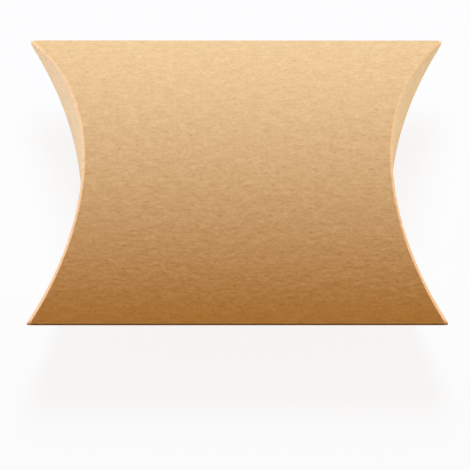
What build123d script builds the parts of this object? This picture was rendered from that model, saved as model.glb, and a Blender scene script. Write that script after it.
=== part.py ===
"""A kraft pillow box, closed: one creased sheet of board, folded and glued into a flat tube.

Two curved panels meet along two straight long folds, one of which holds the glued seam. Each end is
closed by two flaps that hang from curved creases: the outer flap comes down from the top panel, and
the inner flap stands up from the bottom panel, one board behind it.

The box lies on its belly. X runs along its length, Y across it and Z up through its thickness. The
origin is under the middle of the box, on the surface that it lies on.

The whole shape comes from one arc. Seen from the end, each panel is that arc about a line along X.
Seen from above, each pair of end flaps is the same arc about an upright line outside the box. So the
two surfaces of a corner mirror each other, as they must when a flat sheet is folded along a curve,
and the crease between them lies in a plane that slopes 45 degrees.
"""

import os

from build123d import *

# Driving dimensions, in millimetres. Length and width run between the sharp lines of the folds.
length = 90.0
width = 66.0
height = 25.0
board = 0.4

# The folds. A crease is pressed flat to a depth below its sharp line, and its strip of board takes a
# leg of the panel on one side and a leg of the flap on the other. The radius is that of the outer face.
crease_depth = 0.64
crease_leg = 1.2
long_fold_radius = 0.8
long_fold_depth = 1.2
corner_radius = 0.4

# The end flaps.
flap_clearance = 0.2
hinge_gap = 0.6
edge_trim = 0.5
inner_flap_rise = 3.0
flap_tip_radius = 0.6
notch_radius = 4.0

# The glued seam, on the near long edge.
glue_flap_width = 10.0
glue_flap_end_gap = 2.5
glue_margin = 1.0
glue_gap = 0.1
glue_clearance = 0.03
seam_edge_inset = 0.7

# How far a cutter runs past what it cuts.
overrun = 5.0

# The arc: its ends lie on the long folds at mid height, and its crown is half a height from there.
mid = height / 2
half_length = length / 2
half_width = width / 2
arc_radius = (half_width**2 + mid**2) / height
axis_offset = arc_radius - mid
fold_start = half_width - long_fold_depth
lap = board + glue_gap
inner_step = board + flap_clearance
seam_edge = half_width - seam_edge_inset
reach = half_length + overrun

TOP, BOTTOM = 1, -1
LEFT, RIGHT = -1, 1


def panel_axis(level):
    """Where the axis of a panel's arc crosses the YZ plane."""
    return (0, mid - level * axis_offset)


def end_axis(side):
    """Where the axis of an end's arc crosses the XY plane."""
    return (side * (half_length + axis_offset), 0)


def crease_x(y):
    """How far from the middle the crease lies, at a distance y from the middle line."""
    return half_length + axis_offset - (arc_radius**2 - y**2) ** 0.5


def panel_wall(level, inset, thickness):
    """A layer of a panel seen from the end, its outer face set in from the panel's arc."""
    with BuildSketch(Plane.YZ) as wall:
        with Locations(panel_axis(level)):
            Circle(arc_radius - inset)
            Circle(arc_radius - inset - thickness, mode=Mode.SUBTRACT)
        with Locations((0, mid + level * (height / 2 - board))):
            Rectangle(width, height, mode=Mode.INTERSECT)
    return wall.sketch_local


def tube_outline(bottom_inset, inset):
    """The whole tube seen from the end, its bottom arc set in by bottom_inset and all of it by inset."""
    with BuildSketch(Plane.YZ) as outline:
        with Locations(panel_axis(TOP)):
            Circle(arc_radius)
        with Locations(panel_axis(BOTTOM)):
            Circle(arc_radius - bottom_inset, mode=Mode.INTERSECT)
        fillet(outline.vertices(), long_fold_radius)
        offset(amount=-inset, mode=Mode.REPLACE)
    return outline.sketch_local


def tube_wall(bottom_inset):
    """The board of the whole tube seen from the end."""
    with BuildSketch(Plane.YZ) as wall:
        add(tube_outline(bottom_inset, 0))
        add(tube_outline(bottom_inset, board), mode=Mode.SUBTRACT)
    return wall.sketch_local


def fold_reach(bottom_inset):
    """How far across the rounding of a long fold reaches, from the two arcs that it touches."""
    top, bottom = arc_radius - long_fold_radius, arc_radius - bottom_inset - long_fold_radius
    rise = (top**2 - bottom**2) / (4 * axis_offset)
    return long_fold_radius + (top**2 - (axis_offset + rise) ** 2) ** 0.5


def tube_strip(wall, y_low, y_high, end_inset):
    """The length of a wall of the tube that lies between two distances across, with arced ends."""
    with BuildPart() as strip:
        with BuildSketch(Plane.YZ):
            add(wall)
            with Locations((y_low, -overrun)):
                Rectangle(y_high - y_low, height + 2 * overrun, align=Align.MIN, mode=Mode.INTERSECT)
        extrude(amount=half_length, both=True)
        with BuildSketch(Plane.XY.offset(-overrun)):
            with Locations(end_axis(LEFT), end_axis(RIGHT)):
                Circle(arc_radius + end_inset)
        extrude(amount=height + 2 * overrun, mode=Mode.SUBTRACT)
    return strip.part


def fold_strip(wall, y_low, y_high):
    """A long fold. Its lower half is shorter, as the creases of the bottom panel are set in."""
    with BuildPart() as strip:
        add(tube_strip(wall, y_low, y_high, crease_leg))
        with BuildSketch(Plane.XY):
            with Locations(end_axis(LEFT), end_axis(RIGHT)):
                Circle(arc_radius + inner_step + crease_leg)
        extrude(amount=mid, mode=Mode.SUBTRACT)
    return strip.part


def crease_plane(side, level, end_inset):
    """The sloping plane that holds the sharp line of a crease, facing out of the box."""
    crown = (side * (crease_x(0) - end_inset), 0, mid + level * mid)
    return Plane(origin=crown, z_dir=(side, 0, level))


def fold_corner(side, level, end_inset, inset):
    """The corner inside a crease: under the panel and behind the flap, its edge pressed flat."""
    seam_inset = lap if level == TOP else 0
    with BuildPart() as corner:
        with BuildSketch(Plane.YZ):
            add(tube_outline(0, inset))
            Rectangle(half_width, height, align=Align.MIN, mode=Mode.INTERSECT)
        with BuildSketch(Plane.YZ):
            add(tube_outline(seam_inset, inset))
            Rectangle(half_width, height, align=(Align.MAX, Align.MIN), mode=Mode.INTERSECT)
        extrude(amount=side * reach)
        with BuildSketch(Plane.XY.offset(-overrun)):
            with Locations(end_axis(side)):
                Circle(arc_radius + end_inset + inset)
        extrude(amount=height + 2 * overrun, mode=Mode.SUBTRACT)
        flat = crease_plane(side, level, end_inset).offset(-crease_depth - inset)
        split(bisect_by=flat, keep=Keep.BOTTOM)
    return corner.part


def curved_crease(side, level, end_inset):
    """The strip of board along one curved crease."""
    seam_limit, long_limit = fold_reach(lap), fold_reach(0)
    if level == BOTTOM:
        seam_limit = seam_edge
    with BuildPart() as crease:
        add(fold_corner(side, level, end_inset, 0))
        add(fold_corner(side, level, end_inset, board), mode=Mode.SUBTRACT)
        with BuildSketch(Plane.XY.offset(mid)) as plan:
            with Locations(end_axis(side)):
                Circle(arc_radius + end_inset + crease_leg)
                Circle(arc_radius + end_inset, mode=Mode.SUBTRACT)
            with Locations((0, -seam_limit)):
                Rectangle(2 * reach, seam_limit + long_limit, align=(Align.CENTER, Align.MIN),
                          mode=Mode.INTERSECT)
            tips = plan.vertices().sort_by(Axis.X, reverse=side == LEFT)[-2:]
            fillet(tips, corner_radius)
        extrude(amount=level * height, mode=Mode.INTERSECT)
        with BuildSketch(Plane.YZ):
            with Locations(panel_axis(level)):
                Circle(arc_radius - crease_leg)
        extrude(amount=reach, both=True, mode=Mode.SUBTRACT)
    return crease.part


def flap_wall(side, end_inset, outline):
    """An end flap: its outline, seen from the end, cut out of the curved end wall."""
    with BuildPart() as flap:
        with BuildSketch(Plane.XY):
            with Locations(end_axis(side)):
                Circle(arc_radius + end_inset + board)
                Circle(arc_radius + end_inset, mode=Mode.SUBTRACT)
        extrude(amount=height)
        with BuildSketch(Plane.YZ):
            add(outline)
        extrude(amount=side * reach, mode=Mode.INTERSECT)
    return flap.part


# The hinge line of a flap is the crown of its root, this far in from the panel's outer face.
root_inset = crease_leg + hinge_gap

with BuildSketch(Plane.YZ) as outer_outline:
    with Locations(panel_axis(TOP)):
        Circle(arc_radius - root_inset)
    with Locations(panel_axis(BOTTOM)):
        Circle(arc_radius - edge_trim, mode=Mode.INTERSECT)
    fillet(outer_outline.vertices(), flap_tip_radius)
    with Locations((0, edge_trim)):
        Circle(notch_radius, mode=Mode.SUBTRACT)

inner_root = arc_radius - root_inset
inner_half_width = (inner_root**2 - axis_offset**2) ** 0.5

with BuildSketch(Plane.YZ) as inner_outline:
    with BuildLine():
        ThreePointArc((-inner_half_width, mid), (0, root_inset), (inner_half_width, mid))
        ThreePointArc((inner_half_width, mid), (0, mid + inner_flap_rise), (-inner_half_width, mid))
    make_face()
    fillet(inner_outline.vertices(), flap_tip_radius)

with BuildPart() as top_panel:
    add(tube_strip(panel_wall(TOP, 0, board), -fold_start, fold_start, crease_leg))

with BuildPart() as bottom_panel:
    add(tube_strip(panel_wall(BOTTOM, 0, board), -seam_edge, fold_start, inner_step + crease_leg))

with BuildPart() as long_fold:
    add(fold_strip(tube_wall(0), fold_start, half_width))

with BuildPart() as seam_fold:
    add(fold_strip(tube_wall(lap), -half_width, -fold_start))

with BuildPart() as glue_flap:
    free_edge = fold_start - glue_flap_width
    root_x = crease_x(fold_start) - glue_flap_end_gap
    free_x = crease_x(free_edge) - glue_flap_end_gap
    add(tube_strip(panel_wall(BOTTOM, lap, board), -fold_start, -free_edge, 0))
    with BuildSketch(Plane.XY):
        with BuildLine():
            Polyline((-root_x, -fold_start), (root_x, -fold_start), (free_x, -free_edge),
                     (-free_x, -free_edge), close=True)
        make_face()
    extrude(amount=height, mode=Mode.INTERSECT)

with BuildPart() as seam_glue:
    with BuildSketch(Plane.YZ):
        add(panel_wall(BOTTOM, board + glue_clearance, glue_gap - 2 * glue_clearance))
        with Locations((-fold_start + glue_margin, 0)):
            Rectangle(glue_flap_width - 2 * glue_margin, mid, align=Align.MIN, mode=Mode.INTERSECT)
    extrude(amount=free_x - glue_margin, both=True)

pieces = {
    "top_panel": top_panel.part,
    "bottom_panel": bottom_panel.part,
    "long_fold": long_fold.part,
    "seam_fold": seam_fold.part,
    "glue_flap": glue_flap.part,
    "seam_glue": seam_glue.part,
}

for side, name in ((LEFT, "left"), (RIGHT, "right")):
    pieces[name + "_top_crease"] = curved_crease(side, TOP, 0)
    pieces[name + "_bottom_crease"] = curved_crease(side, BOTTOM, inner_step)
    pieces[name + "_outer_flap"] = flap_wall(side, 0, outer_outline.sketch_local)
    pieces[name + "_inner_flap"] = flap_wall(side, inner_step, inner_outline.sketch_local)

os.makedirs("parts", exist_ok=True)
for name, piece in pieces.items():
    piece.label = name
    export_step(piece, f"parts/{name}.step")

print("arc radius", round(arc_radius, 2), "mm, crease crown at x", round(crease_x(0), 2), "mm")
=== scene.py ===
# %% [markdown]
# # A kraft pillow box
#
# A pillow box is a single sheet of brown board that is creased, folded and glued into a flat tube. Its
# two curved panels bulge because the creases that carry the end flaps are arcs. Nothing is stuck on
# afterwards, so everything that the eye sees is one material going round folds. The first cell loads
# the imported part, whose bodies carry the pieces that are made here.

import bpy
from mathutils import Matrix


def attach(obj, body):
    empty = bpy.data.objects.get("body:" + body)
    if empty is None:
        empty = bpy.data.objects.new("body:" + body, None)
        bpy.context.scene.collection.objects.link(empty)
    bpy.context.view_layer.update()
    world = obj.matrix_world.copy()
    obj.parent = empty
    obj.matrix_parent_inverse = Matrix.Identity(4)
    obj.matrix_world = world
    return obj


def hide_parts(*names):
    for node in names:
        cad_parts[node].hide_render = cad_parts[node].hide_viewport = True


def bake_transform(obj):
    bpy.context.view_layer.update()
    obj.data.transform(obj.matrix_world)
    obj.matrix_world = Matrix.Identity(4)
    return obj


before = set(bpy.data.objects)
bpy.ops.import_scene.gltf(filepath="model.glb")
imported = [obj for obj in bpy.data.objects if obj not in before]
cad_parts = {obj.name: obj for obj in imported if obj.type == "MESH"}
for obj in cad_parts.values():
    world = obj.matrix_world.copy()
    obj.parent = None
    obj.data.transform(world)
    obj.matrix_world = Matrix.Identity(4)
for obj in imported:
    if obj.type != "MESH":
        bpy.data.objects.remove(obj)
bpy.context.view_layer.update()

import math

import bmesh
import bpy
from mathutils import Vector

# %% [markdown]
# ## The sizes of the box
#
# These repeat the part's own values. Blender works in metres, so they are written in millimetres and
# scaled here. One radius is enough for the whole shape, because the panels and the ends are the same
# arc: a sheet that is folded along a curve mirrors itself at the fold.

# %% Sizes
MM = 0.001
half_length = 45 * MM
half_width = 33 * MM
height = 25 * MM
board = 0.4 * MM
mid = height / 2
arc_radius = (half_width**2 + mid**2) / height
axis_offset = arc_radius - mid

crease_leg = 1.2 * MM
fold_start = 31.8 * MM
fold_radius = 0.8 * MM
corner_radius = 0.4 * MM
inner_step = 0.6 * MM
lap = 0.5 * MM
edge_trim = 0.5 * MM
inner_rise = 3 * MM
hinge_gap = 0.6 * MM
notch_radius = 4 * MM
tip_radius = 0.6 * MM
seam_edge = 32.3 * MM

TOP, BOTTOM = 1, -1
LEFT, RIGHT = -1, 1
print("arc radius", round(arc_radius / MM, 2), "mm")


# %% [markdown]
# ## Bending the flat blank
#
# Each piece starts as a flat grid of board, as the blank does before it is folded. Every point of the
# grid is then carried to its folded place, and keeps its place on the flat blank in an attribute named
# blank. Fibres and specks read that attribute, so they run on over a fold as they do on real board.
# Only then does the sheet get its thickness, with every inner point one board behind its outer point,
# though never further out than the outer face reaches, as it would be in the tight corners. The third
# number of the attribute is the depth inside the board, which tells the cut edges from the two faces.
# A second attribute says how much a crease has stretched the face there, and how much painted highlight
# it carries.

# %% Arcs of the panels and ends
def sag(y, radius=arc_radius):
    """How far an arc has fallen away from its crown, at a distance y from the middle line."""
    return radius - math.sqrt(radius**2 - y**2)


def flat_across(y):
    """The distance across the flat blank that becomes y once the panel is bent."""
    return arc_radius * math.asin(y / arc_radius)


def bent_across(flat):
    """The reverse: where a distance across the flat blank ends up."""
    return arc_radius * math.sin(flat / arc_radius)


def end_x(y, step=0):
    """The outer face of an end, set in by a step, at a distance y from the middle line."""
    return half_length - mid - step + sag(y, arc_radius + step)


def between(low, high, share):
    """The number that lies a share of the way from low to high."""
    return low + (high - low) * share


print("crease at x", round(end_x(0) / MM, 2), "mm in the middle and", round(end_x(fold_start) / MM, 2))


# %% Carry a grid of board to its folded place
sharp_angle = math.radians(40)


def bent_sheet(name, lengthwise, across, place, outward, pressing_and_highlight=None):
    """A sheet of board. place turns two shares from 0 to 1 into a point and its place when flat."""
    bm = bmesh.new()
    blank = bm.verts.layers.float_vector.new("blank")
    pressed_and_highlit = bm.verts.layers.float.new("pressed_and_highlit")
    order = bm.verts.layers.int.new("order")
    bmesh.ops.create_grid(bm, x_segments=lengthwise, y_segments=across, size=0.5)
    for vert in bm.verts:
        shares = vert.co.x + 0.5, vert.co.y + 0.5
        vert.co, vert[blank] = place(*shares)
        vert[pressed_and_highlit] = pressing_and_highlight(*shares) if pressing_and_highlight else 0
    bm.normal_update()
    facing = sum((face.normal * face.calc_area() for face in bm.faces), Vector())
    if facing.dot(Vector(outward)) < 0:
        bmesh.ops.reverse_faces(bm, faces=bm.faces[:])
        bm.normal_update()
    behind = []
    for number, vert in enumerate(bm.verts):
        vert[order] = number
        behind.append(vert.co - vert.normal * board)
    low = [min(vert.co[i] for vert in bm.verts) for i in range(3)]
    high = [max(vert.co[i] for vert in bm.verts) for i in range(3)]
    outer = set(bm.verts)
    bmesh.ops.solidify(bm, geom=bm.verts[:] + bm.edges[:] + bm.faces[:], thickness=board)
    for vert in bm.verts:
        if vert not in outer:
            vert.co = [min(max(c, low[i]), high[i]) for i, c in enumerate(behind[vert[order]])]
            vert[blank] = vert[blank] + Vector((0, 0, board))
    bm.verts.layers.int.remove(order)
    mesh = bpy.data.meshes.new(name)
    bm.to_mesh(mesh)
    bm.free()
    mesh.shade_smooth()
    mesh.set_sharp_from_angle(angle=sharp_angle)
    piece = bpy.data.objects.new(name, mesh)
    bpy.context.scene.collection.objects.link(piece)
    size = [round((high[i] - low[i]) / MM, 2) for i in range(3)]
    print(name, size, "mm,", len(mesh.polygons), "faces")
    return piece


# %% [markdown]
# ## The kraft board
#
# Kraft board is unbleached: long wood fibres, most of them lying along the sheet, a slight cloudiness
# where the pulp is thicker, a few dark specks of bark and paler flecks of loose fibre. The face is also
# never quite flat, so rounder waves lift and lower it a little. All of it is noise on the flat blank.
# It is one node group, because the faces and the pressed creases show the same fibres.

# %% The fibre pattern as a node group
def new_group(name, outputs):
    """A new node group, the socket where it reads the place on the blank, and its output node."""
    group = bpy.data.node_groups.new(name, "ShaderNodeTree")
    group.interface.new_socket("Blank", in_out="INPUT", socket_type="NodeSocketVector")
    for output in outputs:
        group.interface.new_socket(output, in_out="OUTPUT", socket_type="NodeSocketFloat")
    inside, outside = group.nodes.new("NodeGroupInput"), group.nodes.new("NodeGroupOutput")
    return group, inside.outputs["Blank"], outside


def link_node(tree, kind, **inputs):
    """A node with its inputs set. A socket is linked, and anything else is a value. i0 is input 0."""
    node = tree.nodes.new(kind)
    for name, value in inputs.items():
        numbered = name[0] == "i" and name[1:].isdigit()
        socket = node.inputs[int(name[1:])] if numbered else node.inputs[name]
        if isinstance(value, bpy.types.NodeSocket):
            tree.links.new(value, socket)
        else:
            socket.default_value = value
    return node


def stretched_noise(tree, blank, stretch, detail, roughness=0.5):
    """Noise whose features are about one over stretch long in each direction, in metres."""
    scaled = link_node(tree, "ShaderNodeVectorMath", i0=blank, i1=stretch)
    scaled.operation = "MULTIPLY"
    noise = link_node(tree, "ShaderNodeTexNoise", Vector=scaled.outputs[0], Scale=1.0, Detail=detail,
                      Roughness=roughness)
    return noise.outputs["Fac"]


def ramp(tree, value, low, high, to_low=0.0, to_high=1.0):
    """A value spread evenly, so that low becomes to_low and high becomes to_high."""
    node = link_node(tree, "ShaderNodeMapRange", Value=value)
    names = "From Min", "From Max", "To Min", "To Max"
    for name, number in zip(names, (low, high, to_low, to_high)):
        node.inputs[name].default_value = number
    return node.outputs["Result"]


def maths(tree, operation, first, second):
    """The result of a maths node on two sockets or numbers."""
    node = link_node(tree, "ShaderNodeMath", i0=first, i1=second)
    node.operation = operation
    return node.outputs[0]


def weighted(tree, first, *others):
    """The sum of some sockets, each times its weight."""
    product = maths(tree, "MULTIPLY", *first)
    return maths(tree, "ADD", product, weighted(tree, *others)) if others else product


# The part of each noise that shows: specks are the peaks of the dashes, and flecks are the dips of the
# flakes.
tone_range = 0.35, 0.65
speck_range = 0.695, 0.785
fleck_range = 0.21, 0.12

fibres, inside, outside = new_group("kraft_fibres", ("Tone", "Specks", "Flecks", "Relief"))
clouds = stretched_noise(fibres, inside, (380, 500, 380), 2)
streaks = stretched_noise(fibres, inside, (450, 1350, 600), 1)
grains = stretched_noise(fibres, inside, (1250, 1300, 1300), 2)
dashes = stretched_noise(fibres, inside, (700, 3200, 900), 1)
flakes = stretched_noise(fibres, inside, (800, 2300, 1700), 0)
waves = stretched_noise(fibres, inside, (650, 450, 650), 4, 0.65)
tone = weighted(fibres, (clouds, 0.35), (streaks, 0.2), (grains, 0.45))
fibres.links.new(ramp(fibres, tone, *tone_range), outside.inputs["Tone"])
fibres.links.new(ramp(fibres, dashes, *speck_range), outside.inputs["Specks"])
fibres.links.new(ramp(fibres, flakes, *fleck_range), outside.inputs["Flecks"])
fibres.links.new(weighted(fibres, (waves, 1), (streaks, 0.3)), outside.inputs["Relief"])
print("fibre group outputs", [socket.name for socket in outside.inputs if socket.name])

# %% [markdown]
# Where the board is cut, its layers show: the plies of the sheet lie in thin lines along the edge,
# paler than the two faces, because they have never been rubbed or lit. The depth inside the board says
# where that is, so one material serves faces and edges alike. The outer face is calendered, which gives
# it a slight sheen, and the inner face is left rough.

# %% The cut edge as a node group
skin_start = 0.01 * MM
skin_end = 0.05 * MM
ply_range = 0.3, 0.7

cut_edge, inside, outside = new_group("cut_edge", ("Mask", "Plies", "Inner"))
depth = link_node(cut_edge, "ShaderNodeSeparateXYZ", Vector=inside).outputs["Z"]
from_faces = maths(cut_edge, "MINIMUM", depth, maths(cut_edge, "SUBTRACT", board, depth))
plies = stretched_noise(cut_edge, inside, (700, 700, 14000), 2)
cut_edge.links.new(ramp(cut_edge, from_faces, skin_start, skin_end), outside.inputs["Mask"])
cut_edge.links.new(ramp(cut_edge, plies, *ply_range), outside.inputs["Plies"])
cut_edge.links.new(ramp(cut_edge, depth, 0, board), outside.inputs["Inner"])
print("a cut edge starts", skin_end / MM, "mm inside the board")

# %% The board material
dark_fibre, pale_fibre = (0.637, 0.398, 0.167), (0.743, 0.482, 0.221)
bark, loose_fibre = (0.40, 0.22, 0.085), (0.80, 0.57, 0.33)
dark_ply, pale_ply = (0.58, 0.385, 0.20), (0.80, 0.57, 0.33)
# The pale flat of a crease: partly the colour of stretched fibres, partly a painted highlight.
stretched_board_highlight, stretch_highlight_share = (0.84, 0.43, 0.18), 0.8
dark_roughness, pale_roughness = 0.68, 0.56
outer_gloss = 0.08
relief_height = 0.2 * MM


def mixed(tree, factor, first, second):
    """A mix of two colours, each of which is a socket or three numbers."""
    node = tree.nodes.new("ShaderNodeMix")
    node.data_type = "RGBA"
    tree.links.new(factor, node.inputs[0])
    for socket, value in ((node.inputs[6], first), (node.inputs[7], second)):
        if isinstance(value, bpy.types.NodeSocket):
            tree.links.new(value, socket)
        else:
            socket.default_value = (*value, 1)
    return node.outputs[2]


def attribute(tree, name):
    """The node that reads an attribute of the mesh."""
    node = tree.nodes.new("ShaderNodeAttribute")
    node.attribute_name = name
    return node


def use_group(tree, group, blank):
    """A node group at work in a material, fed with the place on the blank."""
    node = tree.nodes.new("ShaderNodeGroup")
    node.node_tree = group
    tree.links.new(blank, node.inputs["Blank"])
    return node


kraft = bpy.data.materials.new("kraft_board")
kraft.use_nodes = True
tree = kraft.node_tree
blank = attribute(tree, "blank").outputs["Vector"]
fibre = use_group(tree, fibres, blank)
edge = use_group(tree, cut_edge, blank)
face_colour = mixed(tree, fibre.outputs["Tone"], dark_fibre, pale_fibre)
face_colour = mixed(tree, fibre.outputs["Specks"], face_colour, bark)
face_colour = mixed(tree, fibre.outputs["Flecks"], face_colour, loose_fibre)
# Crease flats painted paler: partly stretched fibres, partly a painted highlight that is strongest at
# the near end.
worn_and_highlit = maths(tree, "MULTIPLY", attribute(tree, "pressed_and_highlit").outputs["Fac"], stretch_highlight_share)
face_colour = mixed(tree, worn_and_highlit, face_colour, stretched_board_highlight)
edge_colour = mixed(tree, edge.outputs["Plies"], dark_ply, pale_ply)
shader = tree.nodes["Principled BSDF"]
tree.links.new(mixed(tree, edge.outputs["Mask"], face_colour, edge_colour), shader.inputs["Base Color"])
finish = ramp(tree, fibre.outputs["Tone"], 0, 1, dark_roughness, pale_roughness)
tree.links.new(maths(tree, "MAXIMUM", finish, edge.outputs["Inner"]), shader.inputs["Roughness"])
gloss = ramp(tree, edge.outputs["Inner"], 0, 1, outer_gloss, 0)
tree.links.new(gloss, shader.inputs["Specular IOR Level"])
ridges = maths(tree, "MULTIPLY", edge.outputs["Mask"], edge.outputs["Plies"])
relief = maths(tree, "ADD", fibre.outputs["Relief"], ridges)
bump = link_node(tree, "ShaderNodeBump", Height=relief, Strength=1.0, Distance=relief_height)
tree.links.new(bump.outputs["Normal"], shader.inputs["Normal"])
print("material", kraft.name, "with", len(tree.nodes), "nodes")

# %% [markdown]
# ## The two panels
#
# The top panel is the large face of the box. Its straight lines run along the length, so a row of the
# grid stays straight, and only its ends are cut to the arc of the crease. The bottom panel is the same
# sheet on the other side. Its edge along the seam is a plain cut, because the glue flap lies inside it.

# %% The tube seen from the end
def circles_meet(low_centre, low_radius, high_centre, high_radius):
    """Where two circles cross whose centres are at these heights: across, and up from mid height."""
    rise = ((low_radius**2 - high_radius**2 + high_centre**2 - low_centre**2)
            / (2 * (high_centre - low_centre)))
    return math.sqrt(low_radius**2 - (rise - low_centre) ** 2), rise


class LongFold:
    """A long fold seen from the end: two arcs and the rounding between them."""

    def __init__(self, inset):
        self.low, self.high = arc_radius, arc_radius - inset
        self.across, self.rise = circles_meet(-axis_offset, self.low - fold_radius, axis_offset,
                                              self.high - fold_radius)
        self.first = math.atan2(self.across, self.rise + axis_offset)
        self.last = math.atan2(self.across, axis_offset - self.rise)
        start, end = math.asin(fold_start / self.low), math.asin(fold_start / self.high)
        self.runs = (self.low * (self.first - start), fold_radius * (math.pi - self.first - self.last),
                     self.high * (self.last - end))
        self.length = sum(self.runs)
        self.nose = self.runs[0] + fold_radius * (math.pi / 2 - self.first)
        self.reach = self.across + fold_radius

    def at(self, distance):
        """How far across and up from mid height, at a distance round the fold."""
        if distance < self.runs[0]:
            angle = self.first - (self.runs[0] - distance) / self.low
            return self.low * math.sin(angle), self.low * math.cos(angle) - axis_offset
        distance -= self.runs[0]
        if distance < self.runs[1]:
            angle = self.first + distance / fold_radius
            return (self.across + fold_radius * math.sin(angle),
                    self.rise + fold_radius * math.cos(angle))
        angle = self.last - (distance - self.runs[1]) / self.high
        return self.high * math.sin(angle), axis_offset - self.high * math.cos(angle)


plain_fold, lapped_fold = LongFold(0), LongFold(lap)
flat_start = flat_across(fold_start)
print("the folds reach", round(plain_fold.reach / MM, 2), "and", round(lapped_fold.reach / MM, 2), "mm")

# The top and bottom creases part this far past the nose of a fold, and the step grows from there.
corner_split = 0.35 * MM
step_run = 1.5 * fold_radius


def step_at(distance):
    """How far the creases are set in, at a distance round a long fold: the bottom ones lie deeper."""
    share = min(max((distance - plain_fold.nose - corner_split) / step_run, 0), 1)
    return inner_step * share * share * (3 - 2 * share)


def bottom_step(y):
    """How far the bottom panel's creases are set in. At the seam they come out to the corner."""
    return step_at(plain_fold.nose + corner_split + (seam_edge + y if y < 0 else height))


# %% Panels and long folds
panel_grid = 60, 120
fold_grid = 90, 32


def panel(name, level, y_low, y_high):
    """A curved panel between two distances across."""
    flat_low, flat_high = flat_across(y_low), flat_across(y_high)

    def place(along, across):
        y = bent_across(between(flat_low, flat_high, across))
        x = (2 * along - 1) * end_x(y, crease_leg + (bottom_step(y) if level == BOTTOM else 0))
        return (x, y, mid + level * (mid - sag(y))), (x, level_flat(level, y), 0)

    return bent_sheet(name, *panel_grid, place, (0, 0, level))


def level_flat(level, y):
    """How far across the blank a point of the top or bottom panel lies."""
    return flat_across(y) if level == TOP else 2 * flat_start + plain_fold.length - flat_across(y)


def folded_edge(name, side, fold):
    """A long fold, as long as the panels that it joins."""
    def place(along, round_it):
        distance = round_it * fold.length
        y, rise = fold.at(distance)
        x = (2 * along - 1) * end_x(y, step_at(distance) + crease_leg)
        return (x, side * y, mid + rise), (x, side * (flat_start + distance), 0)

    return bent_sheet(name, *fold_grid, place, (0, side, 0))


top_panel = panel("top_panel_board", TOP, -fold_start, fold_start)
bottom_panel = panel("bottom_panel_board", BOTTOM, -seam_edge, fold_start)
long_fold = folded_edge("long_fold_board", 1, plain_fold)
seam_fold = folded_edge("seam_fold_board", -1, lapped_fold)


# %% [markdown]
# ## The curved creases
#
# Board can't turn a sharp corner. Along the curved crease its outer layers are pressed and stretched
# into a narrow flat, which the photograph shows as a bright line. The flat is painted paler: partly the
# pallor of stretched fibres, partly a painted highlight for that bright line. The flat lies in the
# sloping plane of the crease, so it faces the same way all along. It is widest towards the near
# corners of the box, and its painted highlight is strongest there and fades towards the far end.
# Across the strip the board is a line with a few easy corners, worked out for each distance from the
# middle. At its two ends the strip follows the long folds past their noses, and the corner is cut off
# blunt.

# %% Crease strips
# How wide the flat is, and how much wider at the near corners. The flat is pressed hardest and painted
# palest at its near end, partly stretched fibres and partly painted highlight, and keeps a share of
# that at its far end. The corners are cut off less at the seam.
flat_width = 0.55 * MM
corner_widening = 0.45 * MM
far_highlight_share = 0.3
corner_cut = 0.7 * MM
seam_cut_share = 0.4
easing = 0.08 * MM
crease_grid = 24, 160


def rim_point(level, flat):
    """A point of the tube, at a distance across the blank, and how far its crease is set in."""
    if abs(flat) <= flat_start or (level == BOTTOM and flat < 0):
        y = bent_across(flat)
        return y, level * (mid - sag(y)), 0 if level == TOP else bottom_step(y)
    fold = plain_fold if flat > 0 else lapped_fold
    distance = abs(flat) - flat_start
    if level == BOTTOM:
        distance = fold.length - distance
    y, rise = fold.at(distance)
    return math.copysign(y, flat), rise, step_at(distance)


def blunt_end(y, step, reach):
    """The outer face of an end, its corner cut off where it nears the nose of a long fold."""
    beyond = end_x(y, step) - end_x(reach, step) + corner_cut * (1 if y > 0 else seam_cut_share)
    if beyond <= -corner_radius / 2:
        return end_x(y, step)
    share = min(beyond / corner_radius + 0.5, 1)
    return end_x(y, step) - beyond + corner_radius * (share - share * share / 2 - 0.5)


def crease_section(level, flat):
    """The corners of a crease strip, as distance from the middle and fall from the outer face."""
    y, rise, step = rim_point(level, flat)
    reach = plain_fold.reach if flat > 0 else (lapped_fold.reach if level == TOP else seam_edge)
    x = blunt_end(y, step, reach)
    panel_side = end_x(y, step + crease_leg)
    flap_side = crease_leg + sag(y, arc_radius - crease_leg) - sag(y)
    width = flat_width + corner_widening * abs(min(y, y / 2) / half_width) ** 3
    room = max(level * (rise + corner_split), 0)
    falls = [min(fall, room) for fall in (width, flap_side)]
    corners = (panel_side, 0), (x - width, 0), (x, falls[0]), (x, falls[1])
    return [Vector(corner) for corner in corners]


def along_line(corners, distance):
    """The point at a distance along a line through some corners."""
    for start, end in zip(corners, corners[1:]):
        run = (end - start).length
        if distance <= run or end is corners[-1]:
            return start + (end - start) * (distance / max(run, 1e-9))
        distance -= run


def eased(corners, distance, reach):
    """The same, with the corners eased over a short reach."""
    points = [along_line(corners, distance + reach * share) for share in (-1, -0.5, 0, 0.5, 1)]
    return sum(points, Vector((0, 0))) / len(points)


def strip_length(corners):
    """How long the line through some corners is."""
    return sum((end - start).length for start, end in zip(corners, corners[1:]))


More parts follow.
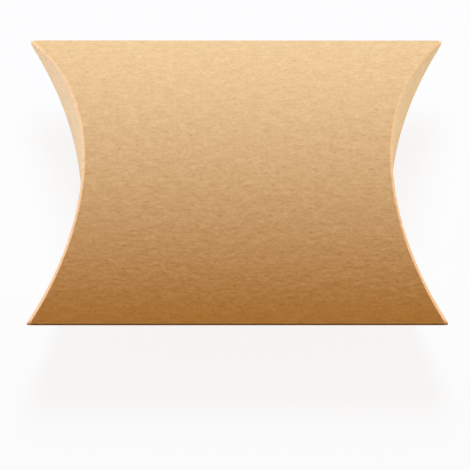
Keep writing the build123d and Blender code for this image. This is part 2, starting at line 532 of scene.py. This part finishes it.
def crease_strip(name, side, level):
    """The strip of board along one curved crease, its flat pale from stretching and from a painted
    highlight.
    """
    past_nose = plain_fold.nose + corner_split
    if level == TOP:
        flat_low, flat_high = -flat_start - lapped_fold.nose - corner_split, flat_start + past_nose
    else:
        flat_low, flat_high = -flat_across(seam_edge), flat_start + (plain_fold.length - past_nose)

    def row(across):
        """The distance across the blank of a row, with the rows closest together at the corners."""
        return between(flat_low, flat_high, 0.5 - 0.5 * math.cos(math.pi * across))

    def place(over, across):
        flat = row(across)
        y, rise, _ = rim_point(level, flat)
        corners = crease_section(level, flat)
        reached = over * strip_length(corners)
        x, fall = eased(corners, reached, easing)
        on_blank = flat if level == TOP else 2 * flat_start + plain_fold.length - flat
        return (side * x, y, mid + rise - level * fall), (side * (corners[0].x + reached), on_blank, 0)

    # How pale the flat is: stretched fibres plus a painted highlight, strongest at the near end and
    # fading towards the far end.
    def pressing_and_highlight(over, across):
        corners = crease_section(level, row(across))
        reached = over * strip_length(corners)
        begins, ends_at = strip_length(corners[:2]), strip_length(corners[:3])
        inside_flat = min(reached - begins, ends_at - reached)
        return min(max(inside_flat / easing, 0), 1) * between(1, far_highlight_share, across)

    return bent_sheet(name, *crease_grid, place, (side, 0, level), pressing_and_highlight)


# %% [markdown]
# ## The end flaps
#
# A flap is what its two arcs enclose: one at its root and one along its free edge, with rounded tips.
# The outer flap hangs from the top panel and has a half-round notch for a finger. The inner flap
# stands up behind it. Both curve like the end of the box, so a column of the grid is a straight
# upright line on an arc seen from above.

# %% Flaps
flap_rows = 40


def flap_edges(low_centre, low_radius, high_centre, high_radius):
    """The tip of a flap, and functions for the heights of its upper and lower edges."""
    across, rise = circles_meet(low_centre, low_radius - tip_radius, high_centre,
                                high_radius - tip_radius)

    def rounding(y):
        return math.sqrt(max(tip_radius**2 - (abs(y) - across) ** 2, 0))

    def upper(y):
        if abs(y) > across * low_radius / (low_radius - tip_radius):
            return rise + rounding(y)
        return low_centre + math.sqrt(low_radius**2 - y**2)

    def lower(y):
        if abs(y) > across * high_radius / (high_radius - tip_radius):
            return rise - rounding(y)
        return high_centre - math.sqrt(high_radius**2 - y**2)

    return across + tip_radius, upper, lower


def flap_columns(tip):
    """Distances from the middle, close together round the notch and at the tip."""
    half = [notch_radius * math.sin(math.radians(step)) for step in range(5, 90, 5)]
    half += [between(notch_radius, tip, math.sin(math.radians(step))) for step in range(0, 91, 2)]
    return [-y for y in reversed(half)] + [0.0] + half


def flap(name, side, level, step, edges, notch, spring=0):
    """An end flap. One that nothing holds springs out a little along the middle of its free edge."""
    tip, upper, lower = edges
    columns = flap_columns(tip)

    def place(down, across):
        y = columns[round(across * (len(columns) - 1))]
        top, bottom = upper(y), lower(y)
        if abs(y) < notch:
            bottom = max(bottom, edge_trim - mid + math.sqrt(notch**2 - y**2))
        root, free = (top, bottom) if level == TOP else (bottom, top)
        z = between(root, free, down)
        corners = crease_section(level, flat_across(y))
        flat = corners[0].x + strip_length(corners) + abs(z - root)
        sprung = spring * down**2 * (1 - (y / tip) ** 2)
        return (side * (end_x(y, step) + sprung), y, mid + z), (side * flat, level_flat(level, y), 0)

    return bent_sheet(name, flap_rows, len(columns) - 1, place, (side, 0, 0))


flap_spring = 0.65 * MM
outer_edges = flap_edges(-axis_offset, arc_radius - crease_leg, axis_offset, arc_radius - edge_trim)
inner_half = math.sqrt((arc_radius - crease_leg - hinge_gap) ** 2 - axis_offset**2)
free_radius = (inner_half**2 + inner_rise**2) / (2 * inner_rise)
inner_edges = flap_edges(inner_rise - free_radius, free_radius, axis_offset, arc_radius - crease_leg)
ends = {}
for side, word in ((LEFT, "left"), (RIGHT, "right")):
    ends[word + "_top_crease"] = crease_strip(word + "_top_crease_board", side, TOP)
    ends[word + "_bottom_crease"] = crease_strip(word + "_bottom_crease_board", side, BOTTOM)
    ends[word + "_outer_flap"] = flap(word + "_outer_flap_board", side, TOP, 0, outer_edges,
                                      notch_radius, flap_spring)
    ends[word + "_inner_flap"] = flap(word + "_inner_flap_board", side, BOTTOM, inner_step,
                                      inner_edges, 0)


# %% [markdown]
# ## The glued seam
#
# The near long edge turns under into a flap that is glued to the inside of the bottom panel. It can be
# seen when an end is open. Its ends slope, so that they don't catch in the end flaps.

# %% Glue flap
glue_width = 10 * MM
glue_end_gap = 2.5 * MM
glue_grid = 60, 20


def glue_place(along_it, across):
    free_edge = fold_start - glue_width
    flat_low, flat_high = flat_across(free_edge), flat_across(fold_start)
    flat = between(flat_high, flat_low, across)
    y = bent_across(flat)
    share = (fold_start - y) / glue_width
    x = (2 * along_it - 1) * (between(end_x(fold_start), end_x(free_edge), share) - glue_end_gap)
    z = lap + sag(y, arc_radius - lap)
    return (x, -y, z), (x, -flat_high - lapped_fold.length - (flat_high - flat), 0)


glue_flap = bent_sheet("glue_flap_board", *glue_grid, glue_place, (0, 0, -1))

# %% [markdown]
# ## Where each piece goes
#
# Every piece of board gets the kraft material and takes the place of the imported part of its name,
# which is hidden. Everything but the flaps hangs on the tube's body. On the box the board is one sheet,
# so a flap isn't cut from its crease but bends next to it; here each flap is a piece of its own that
# stays where it is drawn, its placing baked into its mesh.

# %% Give each piece the board, hide the imported part of its name, and hang the tube's pieces on the tube
board_pieces = {"top_panel": top_panel, "bottom_panel": bottom_panel, "long_fold": long_fold,
                "seam_fold": seam_fold, "glue_flap": glue_flap, **ends}
for node, piece in board_pieces.items():
    piece.data.materials.append(kraft)
    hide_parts(node)
    if "flap" in node and node != "glue_flap":
        side = LEFT if node.startswith("left") else RIGHT
        outer = "outer" in node
        crown = Vector((side * end_x(0, 0 if outer else inner_step), 0, height if outer else 0))
        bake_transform(piece)
    else:
        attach(piece, "tube")
print(len(board_pieces), "pieces of board")

# %% [markdown]
# ## The film of glue
#
# The glue is a thin film of white wood glue, dried to a milky, slightly glossy skin. It keeps its
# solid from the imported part, which already has the right shape.

# %% Glue
glue = bpy.data.materials.new("seam_glue")
glue.use_nodes = True
tree = glue.node_tree
shader = tree.nodes["Principled BSDF"]
shader.inputs["Base Color"].default_value = (0.72, 0.66, 0.52, 1)
solid_place = tree.nodes.new("ShaderNodeTexCoord").outputs["Object"]
patches = link_node(tree, "ShaderNodeTexNoise", Vector=solid_place, Scale=400.0, Detail=2.0)
tree.links.new(ramp(tree, patches.outputs["Fac"], 0.3, 0.7, 0.3, 0.5), shader.inputs["Roughness"])
glue_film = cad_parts["seam_glue"]
glue_film.data.materials.clear()
glue_film.data.materials.append(glue)

# %% [markdown]
# ## Camera
#
# The photograph looks down on the box from the side of the seam, from far enough away that the far edge
# looks nearly as long as the near one. A long lens from a metre away gives that. The box lies above the
# middle of the picture, so the camera aims beside its centre.

# %% Camera
# The turns are in degrees. The box is this far right of the middle of the picture, and above it.
camera_turns = 21.7, -0.6, -0.24
camera_distance = 1.0
box_in_picture = Vector((0.41 * MM, 11.34 * MM, 0))

camera = bpy.data.objects.new("camera", bpy.data.cameras.new("camera"))
bpy.context.scene.collection.objects.link(camera)
camera.rotation_euler = [math.radians(degrees) for degrees in camera_turns]
camera.data.sensor_width = 36
camera.data.lens = 361.8
camera.data.clip_start = 0.01
turn = camera.rotation_euler.to_matrix()
aim = Vector((0, 0, mid)) - turn @ box_in_picture
camera.location = aim + turn @ Vector((0, 0, camera_distance))
bpy.context.scene.camera = camera
print("camera at", [round(c, 3) for c in camera.location])


# %% [markdown]
# ## Light and floor
#
# One broad soft lamp stands behind the far long edge, so the light falls off over the curve of the
# panel towards the near edge. Two smaller ones stand low beyond the ends and catch the creases and the
# flaps. The world fills in the rest. What the camera and the reflections see of the world is plain
# white, and so is most of what they see of the floor, which keeps a faint shadow.

# %% Lamps
def lamp(name, direction, distance, size, power, colour):
    """A round lamp that faces the middle of the box from a direction."""
    light = bpy.data.lights.new(name, "AREA")
    light.shape = "DISK"
    light.size = size
    light.energy = power
    light.color = colour
    thing = bpy.data.objects.new(name, light)
    thing.location = Vector(direction).normalized() * distance
    thing.rotation_euler = Vector(direction).to_track_quat("Z", "Y").to_euler()
    bpy.context.scene.collection.objects.link(thing)


lamp("far_lamp", (0, 0.743, 0.669), 0.9, 0.35, 11.9, (0.49, 0.68, 1.0))
lamp("left_lamp", (-1, 0, 0.05), 0.6, 0.05, 4.7, (0.375, 0.57, 1.0))
lamp("right_lamp", (1, 0, 0.05), 0.6, 0.05, 3.1, (0.47, 0.68, 1.0))

# %% World
world = bpy.data.worlds.new("studio")
bpy.context.scene.world = world
world.use_nodes = True
sky = world.node_tree
fill = sky.nodes["Background"]
fill.inputs["Color"].default_value = (0.48, 0.26, 0.02, 1)
fill.inputs["Strength"].default_value = 1.0
seen = link_node(sky, "ShaderNodeBackground", Color=(1, 1, 1, 1), Strength=1.0)


def seen_directly(tree):
    """1 for what the camera, a reflection or a transparent piece sees, and 0 for light that is cast."""
    path = tree.nodes.new("ShaderNodeLightPath")
    either = maths(tree, "MAXIMUM", path.outputs["Is Camera Ray"], path.outputs["Is Glossy Ray"])
    return maths(tree, "MAXIMUM", either, path.outputs["Is Transmission Ray"])


mix = link_node(sky, "ShaderNodeMixShader", i0=seen_directly(sky), i1=fill.outputs[0],
                i2=seen.outputs[0])
sky.links.new(mix.outputs[0], sky.nodes["World Output"].inputs["Surface"])

# %% Floor
floor_whiteness = 0.88

bpy.ops.mesh.primitive_plane_add(size=6)
floor = bpy.context.object
floor.name = "floor"
paper = bpy.data.materials.new("floor")
paper.use_nodes = True
tree = paper.node_tree
matt = tree.nodes["Principled BSDF"]
matt.inputs["Base Color"].default_value = (0.8, 0.8, 0.8, 1)
matt.inputs["Roughness"].default_value = 0.9
white = link_node(tree, "ShaderNodeEmission", Color=(1, 1, 1, 1), Strength=1.0)
share = maths(tree, "MULTIPLY", seen_directly(tree), floor_whiteness)
mix = link_node(tree, "ShaderNodeMixShader", i0=share, i1=matt.outputs[0], i2=white.outputs[0])
tree.links.new(mix.outputs[0], tree.nodes["Material Output"].inputs["Surface"])
floor.data.materials.append(paper)

bpy.context.scene.view_settings.view_transform = "Standard"
